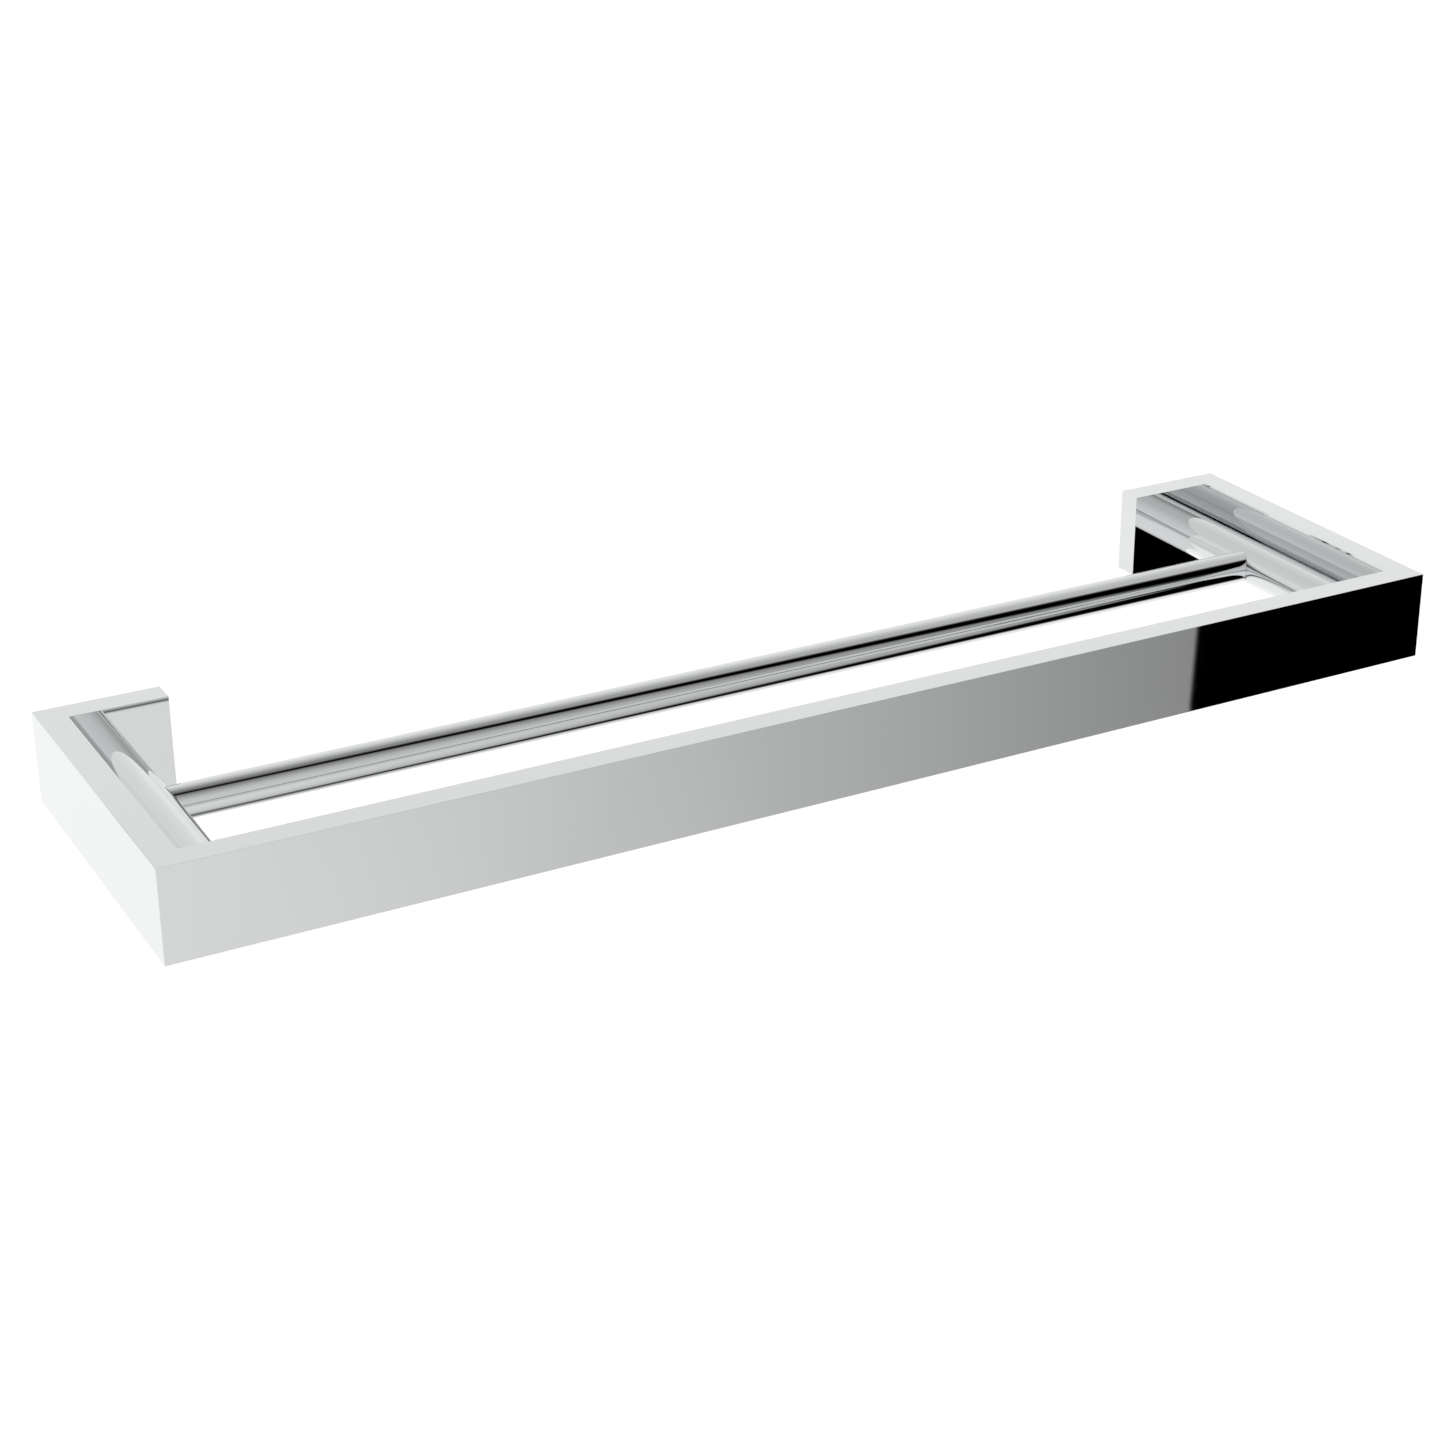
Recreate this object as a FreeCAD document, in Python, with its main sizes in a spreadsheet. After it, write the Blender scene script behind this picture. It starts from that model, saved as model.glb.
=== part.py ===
import FreeCAD
import Part
import os

import Sketcher

# Wall-mounted double towel rack: a flat-bar frame round an inner round rail.
# Frame of reference: origin on the wall, midway between the two wall tabs and at mid height.
# X runs along the rack, -Y points out into the room, Z points up.

# Driving dimensions in millimetres: alias, value, meaning.
driving_sizes = [
    ("overall_length", 600, "outer face to outer face of the side bars"),
    ("overall_depth", 160, "wall to the front face of the front bar"),
    ("bar_height", 40.5, "height of every flat bar"),
    ("bar_thickness", 12, "thickness of every flat bar"),
    ("tab_length", 54, "outer face of the side bar to the free end of the wall tab"),
    ("edge_break", 0.3, "radius that breaks the long edges of the flat bars"),
    ("side_tube_diameter", 20, "outside of the round tube along each side bar"),
    ("side_tube_wall", 2, "wall of the side tube"),
    ("side_tube_gap", 4, "clear space between the side tube and the side bar"),
    ("rail_diameter", 15, "outside of the inner rail"),
    ("rail_wall", 1.5, "wall of the inner rail"),
    ("rail_from_wall", 70, "wall to the axis of the inner rail"),
    ("joint_gap", 0.1, "gap between the coped rail end and the side tube"),
    ("spigot_length", 20, "length of the spigot inside the rail"),
    ("spigot_nose_diameter", 8, "nose of the spigot that enters the side tube"),
    ("spigot_nose_reach", 1.5, "how far the nose stands inside the side tube"),
    ("spigot_clearance", 0.2, "hole over nose, on the diameter"),
    ("bolt_diameter", 6, "tie bolt thread"),
    ("bolt_head_diameter", 10, "tie bolt head"),
    ("bolt_head_height", 6, "tie bolt head"),
    ("bolt_socket_width", 5, "hexagon socket across flats"),
    ("bolt_socket_depth", 3, "hexagon socket"),
    ("bolt_engagement", 7, "thread held in the front bar"),
    ("bolt_end_gap", 1, "tapped hole past the end of the bolt"),
    ("bolt_point", 0.6, "chamfer on the end of the bolt"),
    ("bolt_clearance", 0.5, "clearance hole over the bolt, on the diameter"),
    ("bolt_recess", 0.5, "head below the back face of the tab"),
    ("counterbore_clearance", 1, "counterbore over the head, on the diameter"),
    ("washer_thickness", 1, "washer under the tie bolt head"),
    ("bush_length", 8, "centring bush in each end of the side tube"),
    ("pocket_depth", 8, "bracket pocket in the back of the tab"),
    ("pocket_side_wall", 4.25, "metal above and below the bracket pocket"),
    ("tab_end_wall", 3, "metal between the pocket and the free end of the tab"),
    ("pocket_bolt_wall", 3.4, "metal between the pocket and the bolt counterbore"),
    ("bracket_thickness", 6, "wall bracket"),
    ("bracket_clearance", 0.3, "gap all round the bracket in its pocket"),
    ("screw_edge_distance", 5.7, "wall screw axis to the end of the bracket"),
    ("screw_hole_diameter", 4.6, "hole for a wall screw"),
    ("screw_head_diameter", 8.6, "countersink for the wall screw head"),
    ("grub_diameter", 4, "grub screw thread"),
    ("grub_recess", 0.55, "grub screw below the underside of the tab"),
    ("grub_point", 0.5, "chamfer on the point of the grub screw"),
    ("grub_socket_width", 2, "hexagon socket across flats"),
    ("grub_socket_depth", 1.8, "hexagon socket"),
]

doc = FreeCAD.newDocument("TowelRack")
sheet = doc.addObject("Spreadsheet::Sheet", "sizes")
for row, (alias, value, meaning) in enumerate(driving_sizes, start=1):
    sheet.set(f"A{row}", alias)
    sheet.set(f"B{row}", str(value))
    sheet.set(f"C{row}", meaning)
    sheet.setAlias(f"B{row}", alias)
doc.recompute()


def cell(name):
    return f"sizes.{name}"


# Places worked out from the driving dimensions. Distances along Y are given from the wall.
half_length = f"{cell('overall_length')} / 2"
half_height = f"{cell('bar_height')} / 2"
inner_face_x = f"({half_length} - {cell('bar_thickness')})"
tab_end_x = f"({half_length} - {cell('tab_length')})"
front_bar_back = f"({cell('overall_depth')} - {cell('bar_thickness')})"
tube_axis_x = f"({inner_face_x} - {cell('side_tube_gap')} - {cell('side_tube_diameter')} / 2)"
tube_bore = f"({cell('side_tube_diameter')} - 2 * {cell('side_tube_wall')})"
rail_bore = f"({cell('rail_diameter')} - 2 * {cell('rail_wall')})"
spigot_shoulder_x = f"({tube_axis_x} - {cell('side_tube_diameter')} / 2 - {cell('joint_gap')})"
spigot_nose_x = f"({tube_axis_x} - {tube_bore} / 2 + {cell('spigot_nose_reach')})"
bolt_hole = f"({cell('bolt_diameter')} + {cell('bolt_clearance')})"
bolt_end = f"({front_bar_back} + {cell('bolt_engagement')})"
bolt_head_seat = f"({cell('bolt_recess')} + {cell('bolt_head_height')})"
counterbore = f"({cell('bolt_head_diameter')} + {cell('counterbore_clearance')})"
counterbore_depth = f"({bolt_head_seat} + {cell('washer_thickness')})"
pocket_inner_x = f"({tab_end_x} + {cell('tab_end_wall')})"
pocket_outer_x = f"({tube_axis_x} - {counterbore} / 2 - {cell('pocket_bolt_wall')})"
pocket_top = f"({half_height} - {cell('pocket_side_wall')})"
bracket_x = f"(({pocket_inner_x} + {pocket_outer_x}) / 2)"
bracket_top = f"({pocket_top} - {cell('bracket_clearance')})"
screw_height = f"({bracket_top} - {cell('screw_edge_distance')})"
grub_from_wall = f"({cell('bracket_thickness')} / 2)"
grub_bottom = f"({half_height} - {cell('grub_recess')})"


def evaluate(expression):
    result = sheet.evalExpression(expression)
    return float(getattr(result, "Value", result))


def add_body(name):
    body = doc.addObject("PartDesign::Body", name)
    body.Label = name
    return body


def add_sketch(body, name, plane_role, offset="0"):
    plane = next(item for item in body.Origin.OriginFeatures if item.Role == plane_role)
    sketch = body.newObject("Sketcher::SketchObject", f"{body.Name}_{name}")
    sketch.AttachmentSupport = (plane, [""])
    sketch.MapMode = "FlatFace"
    sketch.setExpression("AttachmentOffset.Base.z", offset)
    return sketch


def pin_point(sketch, geometry, point, x, y):
    # Holds one point of the sketch at two expressions measured from the sketch origin.
    for kind, expression in (("DistanceX", x), ("DistanceY", y)):
        constraint = Sketcher.Constraint(kind, -1, 1, geometry, point, evaluate(expression))
        index = sketch.addConstraint(constraint)
        sketch.setExpression(f"Constraints[{index}]", expression)


def draw_polygon(sketch, points):
    corners = [FreeCAD.Vector(evaluate(x), evaluate(y), 0) for x, y in points]
    count = len(points)
    first = sketch.GeometryCount
    for index in range(count):
        line = Part.LineSegment(corners[index], corners[(index + 1) % count])
        sketch.addGeometry(line, False)
    for index in range(count):
        following = first + (index + 1) % count
        sketch.addConstraint(Sketcher.Constraint("Coincident", first + index, 2, following, 1))
    for index, (x, y) in enumerate(points):
        pin_point(sketch, first + index, 1, x, y)


def draw_rectangle(sketch, left, bottom, right, top):
    draw_polygon(sketch, [(left, bottom), (right, bottom), (right, top), (left, top)])


def draw_circle(sketch, x, y, diameter):
    centre = FreeCAD.Vector(evaluate(x), evaluate(y), 0)
    normal = FreeCAD.Vector(0, 0, 1)
    circle = sketch.addGeometry(Part.Circle(centre, normal, evaluate(diameter) / 2), False)
    pin_point(sketch, circle, 3, x, y)
    index = sketch.addConstraint(Sketcher.Constraint("Diameter", circle, evaluate(diameter)))
    sketch.setExpression(f"Constraints[{index}]", diameter)


def draw_hexagon(sketch, x, y, across_flats):
    corners = []
    for corner in range(6):
        angle = f"{60 * corner} deg"
        reach = f"{across_flats} / sqrt(3)"
        corners.append((f"{x} + {reach} * cos({angle})", f"{y} + {reach} * sin({angle})"))
    draw_polygon(sketch, corners)


def add_pad(body, sketch, length, both_ways=False):
    pad = body.newObject("PartDesign::Pad", f"{sketch.Name}_pad")
    pad.Profile = sketch
    pad.SideType = "Symmetric" if both_ways else "One side"
    pad.setExpression("Length", length)
    doc.recompute()
    return pad


def add_pocket(body, sketch, length, along_normal=True, both_ways=False):
    before = body.Shape.Volume
    pocket = body.newObject("PartDesign::Pocket", f"{sketch.Name}_pocket")
    pocket.Profile = sketch
    pocket.SideType = "Symmetric" if both_ways else "One side"
    pocket.Reversed = along_normal
    pocket.setExpression("Length", length)
    doc.recompute()
    if body.Shape.Volume > before - 1e-3:
        raise RuntimeError(f"{pocket.Name} removes nothing")
    return pocket


def add_revolution(body, sketch, axis):
    revolution = body.newObject("PartDesign::Revolution", f"{sketch.Name}_turned")
    revolution.Profile = sketch
    revolution.ReferenceAxis = (sketch, [axis])
    revolution.Angle = 360
    doc.recompute()
    return revolution


def break_long_edges(body, feature, direction):
    # Rounds every straight edge of the bar that runs in the given direction.
    names = []
    for index, edge in enumerate(feature.Shape.Edges, start=1):
        along = edge.tangentAt(edge.FirstParameter)
        if abs(along.dot(direction)) > 0.999:
            names.append(f"Edge{index}")
    fillet = body.newObject("PartDesign::Fillet", f"{body.Name}_edges")
    fillet.Base = (feature, names)
    fillet.setExpression("Radius", cell("edge_break"))
    doc.recompute()


def add_flat_bar(name, outline, direction):
    body = add_body(name)
    sketch = add_sketch(body, "outline", "XY_Plane")
    draw_polygon(sketch, outline)
    pad = add_pad(body, sketch, cell("bar_height"), both_ways=True)
    break_long_edges(body, pad, direction)
    return body


def add_turned_part(name, plane_role, axis, profile):
    body = add_body(name)
    sketch = add_sketch(body, "profile", plane_role)
    draw_polygon(sketch, profile)
    add_revolution(body, sketch, axis)
    return body


def add_ring(name, outside, inside, start, length):
    # A ring round an axis along Y. The start is measured from the wall.
    body = add_body(name)
    sketch = add_sketch(body, "section", "XZ_Plane", start)
    draw_circle(sketch, "0", "0", outside)
    draw_circle(sketch, "0", "0", inside)
    add_pad(body, sketch, length)
    return body


def place(body, x="0", y="0"):
    body.setExpression("Placement.Base.x", x)
    body.setExpression("Placement.Base.y", y)


def build_front_bar():
    # Mitred at both ends, with a blind tapped hole for each tie bolt.
    outline = [
        (f"-{half_length}", f"-{cell('overall_depth')}"),
        (half_length, f"-{cell('overall_depth')}"),
        (inner_face_x, f"-{front_bar_back}"),
        (f"-{inner_face_x}", f"-{front_bar_back}"),
    ]
    body = add_flat_bar("front_bar", outline, FreeCAD.Vector(1, 0, 0))
    sketch = add_sketch(body, "tapped_holes", "XZ_Plane", front_bar_back)
    for side in (-1, 1):
        draw_circle(sketch, f"{side} * {tube_axis_x}", "0", cell("bolt_diameter"))
    add_pocket(body, sketch, f"{cell('bolt_engagement')} + {cell('bolt_end_gap')}")


def build_side_bar(name, side):
    outline = [
        (f"{side} * {half_length}", f"-{cell('overall_depth')}"),
        (f"{side} * {half_length}", "0"),
        (f"{side} * {inner_face_x}", f"-{cell('bar_thickness')}"),
        (f"{side} * {inner_face_x}", f"-{front_bar_back}"),
    ]
    add_flat_bar(f"{name}_side_bar", outline, FreeCAD.Vector(0, 1, 0))


def build_wall_tab(name, side):
    # The return against the wall. Its back takes the wall bracket and the tie bolt head.
    outline = [
        (f"{side} * {half_length}", "0"),
        (f"{side} * {tab_end_x}", "0"),
        (f"{side} * {tab_end_x}", f"-{cell('bar_thickness')}"),
        (f"{side} * {inner_face_x}", f"-{cell('bar_thickness')}"),
    ]
    body = add_flat_bar(f"{name}_wall_tab", outline, FreeCAD.Vector(1, 0, 0))
    sketch = add_sketch(body, "bracket_pocket", "XZ_Plane")
    draw_rectangle(
        sketch,
        f"{side} * {pocket_inner_x}",
        f"-{pocket_top}",
        f"{side} * {pocket_outer_x}",
        pocket_top,
    )
    add_pocket(body, sketch, cell("pocket_depth"))
    sketch = add_sketch(body, "bolt_hole", "XZ_Plane")
    draw_circle(sketch, f"{side} * {tube_axis_x}", "0", bolt_hole)
    add_pocket(body, sketch, cell("bar_thickness"))
    sketch = add_sketch(body, "bolt_counterbore", "XZ_Plane")
    draw_circle(sketch, f"{side} * {tube_axis_x}", "0", counterbore)
    add_pocket(body, sketch, counterbore_depth)
    sketch = add_sketch(body, "grub_hole", "XY_Plane", f"-{half_height}")
    draw_circle(sketch, f"{side} * {bracket_x}", f"-{grub_from_wall}", cell("grub_diameter"))
    add_pocket(body, sketch, cell("pocket_side_wall"))


def build_side_tube(name, side):
    # Clamped between the wall tab and the front bar, parallel to the side bar.
    length = f"{front_bar_back} - {cell('bar_thickness')}"
    body = add_ring(
        f"{name}_side_tube", cell("side_tube_diameter"), tube_bore, cell("bar_thickness"), length
    )
    sketch = add_sketch(body, "spigot_hole", "YZ_Plane")
    hole = f"{cell('spigot_nose_diameter')} + {cell('spigot_clearance')}"
    draw_circle(sketch, f"-{cell('rail_from_wall')}", "0", hole)
    add_pocket(body, sketch, cell("side_tube_diameter"), along_normal=side < 0)
    place(body, x=f"{side} * {tube_axis_x}")


def build_tube_bushes(name, side):
    # The bushes centre the tube on its tie bolt at both ends.
    front_start = f"{front_bar_back} - {cell('bush_length')}"
    for end, start in (("front", front_start), ("rear", cell("bar_thickness"))):
        bush = add_ring(f"{name}_{end}_bush", tube_bore, bolt_hole, start, cell("bush_length"))
        place(bush, x=f"{side} * {tube_axis_x}")


def build_tie_bolt(name, side):
    head_radius = f"{cell('bolt_head_diameter')} / 2"
    shank_radius = f"{cell('bolt_diameter')} / 2"
    profile = [
        ("0", f"-{cell('bolt_recess')}"),
        (head_radius, f"-{cell('bolt_recess')}"),
        (head_radius, f"-{bolt_head_seat}"),
        (shank_radius, f"-{bolt_head_seat}"),
        (shank_radius, f"-({bolt_end} - {cell('bolt_point')})"),
        (f"{shank_radius} - {cell('bolt_point')}", f"-{bolt_end}"),
        ("0", f"-{bolt_end}"),
    ]
    body = add_turned_part(f"{name}_tie_bolt", "XY_Plane", "V_Axis", profile)
    sketch = add_sketch(body, "socket", "XZ_Plane", cell("bolt_recess"))
    draw_hexagon(sketch, "0", "0", cell("bolt_socket_width"))
    add_pocket(body, sketch, cell("bolt_socket_depth"))
    place(body, x=f"{side} * {tube_axis_x}")
    washer = add_ring(
        f"{name}_bolt_washer",
        cell("bolt_head_diameter"),
        bolt_hole,
        bolt_head_seat,
        cell("washer_thickness"),
    )
    place(washer, x=f"{side} * {tube_axis_x}")


def build_inner_rail():
    # A plain tube whose ends are coped to sit on the side tubes.
    body = add_body("inner_rail")
    sketch = add_sketch(body, "section", "YZ_Plane")
    draw_circle(sketch, "0", "0", cell("rail_diameter"))
    draw_circle(sketch, "0", "0", rail_bore)
    add_pad(body, sketch, f"2 * {tube_axis_x}", both_ways=True)
    sketch = add_sketch(body, "copes", "XZ_Plane")
    cope = f"{cell('side_tube_diameter')} + 2 * {cell('joint_gap')}"
    for side in (-1, 1):
        draw_circle(sketch, f"{side} * {tube_axis_x}", "0", cope)
    add_pocket(body, sketch, f"2 * {cell('rail_diameter')}", both_ways=True)
    place(body, y=f"-{cell('rail_from_wall')}")


def build_rail_spigot(name, side):
    body_radius = f"{rail_bore} / 2"
    nose_radius = f"{cell('spigot_nose_diameter')} / 2"
    root_x = f"({spigot_shoulder_x} - {cell('spigot_length')})"
    profile = [
        (f"{side} * {root_x}", "0"),
        (f"{side} * {root_x}", body_radius),
        (f"{side} * {spigot_shoulder_x}", body_radius),
        (f"{side} * {spigot_shoulder_x}", nose_radius),
        (f"{side} * {spigot_nose_x}", nose_radius),
        (f"{side} * {spigot_nose_x}", "0"),
    ]
    body = add_turned_part(f"{name}_rail_spigot", "XY_Plane", "H_Axis", profile)
    place(body, y=f"-{cell('rail_from_wall')}")


def build_wall_bracket(name, side):
    # Screwed to the wall first. The tab slides over it and the grub screw locks it.
    body = add_body(f"{name}_wall_bracket")
    sketch = add_sketch(body, "plate", "XZ_Plane")
    draw_rectangle(
        sketch,
        f"{side} * ({pocket_inner_x} + {cell('bracket_clearance')})",
        f"-{bracket_top}",
        f"{side} * ({pocket_outer_x} - {cell('bracket_clearance')})",
        bracket_top,
    )
    add_pad(body, sketch, cell("bracket_thickness"))
    sketch = add_sketch(body, "screw_holes", "XZ_Plane", cell("bracket_thickness"))
    for level in (-1, 1):
        height = f"{level} * {screw_height}"
        draw_circle(sketch, f"{side} * {bracket_x}", height, cell("screw_hole_diameter"))
    doc.recompute()
    hole = body.newObject("PartDesign::Hole", f"{body.Name}_countersunk_holes")
    hole.Profile = sketch
    hole.ThreadType = "None"
    hole.DepthType = "ThroughAll"
    hole.HoleCutType = "Countersink"
    hole.HoleCutCustomValues = True
    hole.HoleCutCountersinkAngle = 90
    hole.setExpression("Diameter", cell("screw_hole_diameter"))
    hole.setExpression("HoleCutDiameter", cell("screw_head_diameter"))
    doc.recompute()


def build_grub_screw(name, side):
    radius = f"{cell('grub_diameter')} / 2"
    profile = [
        ("0", f"-{grub_bottom}"),
        (radius, f"-{grub_bottom}"),
        (radius, f"-({bracket_top} + {cell('grub_point')})"),
        (f"{radius} - {cell('grub_point')}", f"-{bracket_top}"),
        ("0", f"-{bracket_top}"),
    ]
    body = add_turned_part(f"{name}_grub_screw", "XZ_Plane", "V_Axis", profile)
    sketch = add_sketch(body, "socket", "XY_Plane", f"-{grub_bottom}")
    draw_hexagon(sketch, "0", "0", cell("grub_socket_width"))
    add_pocket(body, sketch, cell("grub_socket_depth"))
    place(body, x=f"{side} * {bracket_x}", y=f"-{grub_from_wall}")


build_front_bar()
build_inner_rail()
for name, side in (("left", -1), ("right", 1)):
    build_side_bar(name, side)
    build_wall_tab(name, side)
    build_side_tube(name, side)
    build_tube_bushes(name, side)
    build_tie_bolt(name, side)
    build_rail_spigot(name, side)
    build_wall_bracket(name, side)
    build_grub_screw(name, side)
doc.recompute()

for item in doc.Objects:
    if "Invalid" in item.State or "Error" in item.State:
        raise RuntimeError(f"{item.Label} failed: {item.State}")

os.makedirs("parts", exist_ok=True)
for item in doc.Objects:
    if item.TypeId != "PartDesign::Body":
        continue
    shape = item.Shape
    if shape.isNull() or not shape.isValid() or len(shape.Solids) != 1:
        raise RuntimeError(f"{item.Label} is not one valid solid")
    shape.exportStep(os.path.join("parts", f"{item.Label}.step"))
    box = shape.BoundBox
    print(
        f"{item.Label}: {shape.Volume:.0f} mm3, "
        f"x {box.XMin:.2f}..{box.XMax:.2f}, y {box.YMin:.2f}..{box.YMax:.2f}, "
        f"z {box.ZMin:.2f}..{box.ZMax:.2f}"
    )
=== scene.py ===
import math

import bmesh
import bpy
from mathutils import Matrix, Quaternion, Vector


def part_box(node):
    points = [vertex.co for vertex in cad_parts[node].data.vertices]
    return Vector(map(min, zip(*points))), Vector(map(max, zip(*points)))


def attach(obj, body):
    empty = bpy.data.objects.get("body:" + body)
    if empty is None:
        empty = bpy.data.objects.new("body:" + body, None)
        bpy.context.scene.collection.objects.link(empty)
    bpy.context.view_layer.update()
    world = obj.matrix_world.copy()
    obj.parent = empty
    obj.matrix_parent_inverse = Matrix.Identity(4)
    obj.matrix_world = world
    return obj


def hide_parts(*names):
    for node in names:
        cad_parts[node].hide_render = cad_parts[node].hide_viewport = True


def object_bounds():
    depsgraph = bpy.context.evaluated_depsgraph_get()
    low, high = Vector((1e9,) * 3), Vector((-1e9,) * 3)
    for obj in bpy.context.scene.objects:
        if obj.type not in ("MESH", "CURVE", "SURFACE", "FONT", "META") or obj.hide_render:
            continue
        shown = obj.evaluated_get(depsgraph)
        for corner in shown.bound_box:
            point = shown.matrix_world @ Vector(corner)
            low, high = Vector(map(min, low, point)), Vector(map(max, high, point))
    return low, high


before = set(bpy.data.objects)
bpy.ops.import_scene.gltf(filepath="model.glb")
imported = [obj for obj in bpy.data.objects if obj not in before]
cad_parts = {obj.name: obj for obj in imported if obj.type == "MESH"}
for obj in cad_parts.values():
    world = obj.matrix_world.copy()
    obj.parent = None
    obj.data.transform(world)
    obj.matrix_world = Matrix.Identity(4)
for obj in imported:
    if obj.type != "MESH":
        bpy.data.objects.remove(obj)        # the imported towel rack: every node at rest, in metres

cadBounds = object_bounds()
mm = 0.001
print("frame loaded:", len(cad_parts), "nodes")


def addNode(tree, kind, inputs=None, **settings):
    # inputs: socket name or number -> a value, or the output of another node
    node = tree.nodes.new(kind)
    for name, value in settings.items():
        setattr(node, name, value)
    for socket, value in (inputs or {}).items():
        if isinstance(value, bpy.types.NodeSocket):
            tree.links.new(value, node.inputs[socket])
        else:
            node.inputs[socket].default_value = value
    return node


def hexToLinear(text):
    channels = [int(text[i:i + 2], 16) / 255 for i in (1, 3, 5)]
    linear = [c / 12.92 if c <= 0.04045 else ((c + 0.055) / 1.055) ** 2.4 for c in channels]
    return (*linear, 1.0)


def newMaterial(name):
    material = bpy.data.materials.new(name)
    material.use_nodes = True
    material.node_tree.nodes.clear()
    return material, material.node_tree


chrome = {
    "dark": "#E3E5E6",
    "light": "#E8E9E9",
    "waveLength": 70 * mm,      # length of the faint waves that polishing leaves
    "waveHeight": 0.0006 * mm,
    "hazeGrain": 1.5 * mm,
    "roughness": (0.006, 0.016),
}


def makeChromePlate():
    # Bright chromium over nickel on polished brass: a clean, neutral mirror. The polishing mop leaves
    # very long, very low waves, and the plate has a haze that is barely there, so the edges of what
    # it mirrors stay crisp and only drift a little along a bar.
    material, tree = newMaterial("chromePlate")
    place = addNode(tree, "ShaderNodeTexCoord").outputs["Object"]
    wave = addNode(tree, "ShaderNodeTexNoise", {"Vector": place, "Scale": 1 / chrome["waveLength"],
                                                "Detail": 1.0})
    haze = addNode(tree, "ShaderNodeTexNoise", {"Vector": place, "Scale": 1 / chrome["hazeGrain"],
                                                "Detail": 3.0})
    tone = addNode(tree, "ShaderNodeMix", {0: wave.outputs["Fac"], 6: hexToLinear(chrome["dark"]),
                                           7: hexToLinear(chrome["light"])}, data_type="RGBA")
    rough = addNode(tree, "ShaderNodeMapRange", {"Value": haze.outputs["Fac"],
                                                 "To Min": chrome["roughness"][0],
                                                 "To Max": chrome["roughness"][1]})
    bump = addNode(tree, "ShaderNodeBump", {"Height": wave.outputs["Fac"],
                                            "Distance": chrome["waveHeight"]})
    shader = addNode(tree, "ShaderNodeBsdfPrincipled", {
        "Base Color": tone.outputs[2], "Metallic": 1.0, "Roughness": rough.outputs["Result"],
        "Normal": bump.outputs["Normal"]})
    addNode(tree, "ShaderNodeOutputMaterial", {"Surface": shader.outputs["BSDF"]})
    return material


# Small metal parts: two tones of the metal, the size of its grain, how deep that is, and its gloss
zincPlate = {"dark": "#9FA6AC", "light": "#C3C8CC", "cloud": 6 * mm, "grain": 0.35 * mm,
             "grainDepth": 0.004 * mm, "roughness": (0.24, 0.40)}
castZinc = {"dark": "#83868A", "light": "#A4A7AA", "cloud": 9 * mm, "grain": 0.7 * mm,
            "grainDepth": 0.05 * mm, "roughness": (0.46, 0.64)}


def makeGrainyMetal(name, look):
    # Zinc, either plated thinly on a cold-headed steel bolt or cast in a die. The clouds are the
    # uneven tone that zinc takes on in air, and the grain is the satin of the plate or the skin of
    # the die: fine and soft on the bolts, coarser and duller on the brackets.
    material, tree = newMaterial(name)
    place = addNode(tree, "ShaderNodeTexCoord").outputs["Object"]
    cloud = addNode(tree, "ShaderNodeTexNoise", {"Vector": place, "Scale": 1 / look["cloud"],
                                                 "Detail": 4.0, "Distortion": 0.4})
    grain = addNode(tree, "ShaderNodeTexNoise", {"Vector": place, "Scale": 1 / look["grain"],
                                                 "Detail": 2.0})
    tone = addNode(tree, "ShaderNodeMix", {0: cloud.outputs["Fac"], 6: hexToLinear(look["dark"]),
                                           7: hexToLinear(look["light"])}, data_type="RGBA")
    rough = addNode(tree, "ShaderNodeMapRange", {"Value": grain.outputs["Fac"],
                                                 "To Min": look["roughness"][0],
                                                 "To Max": look["roughness"][1]})
    bump = addNode(tree, "ShaderNodeBump", {"Height": grain.outputs["Fac"],
                                            "Distance": look["grainDepth"]})
    shader = addNode(tree, "ShaderNodeBsdfPrincipled", {
        "Base Color": tone.outputs[2], "Metallic": 1.0, "Roughness": rough.outputs["Result"],
        "Normal": bump.outputs["Normal"]})
    addNode(tree, "ShaderNodeOutputMaterial", {"Surface": shader.outputs["BSDF"]})
    return material


# Turned metal parts: the tool leaves rings across the given axis. Real ones are 0.1 mm apart and
# would not show, so these are drawn coarser.
stainlessSteel = {"dark": "#A9A8A3", "light": "#C9C8C2", "ringPitch": 0.3 * mm, "across": "Z",
                  "ringDepth": 0.006 * mm, "roughness": (0.20, 0.32)}
turnedBrass = {"dark": "#C79F52", "light": "#E3C47C", "ringPitch": 0.4 * mm, "across": "X",
               "ringDepth": 0.006 * mm, "roughness": (0.16, 0.30)}


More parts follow.
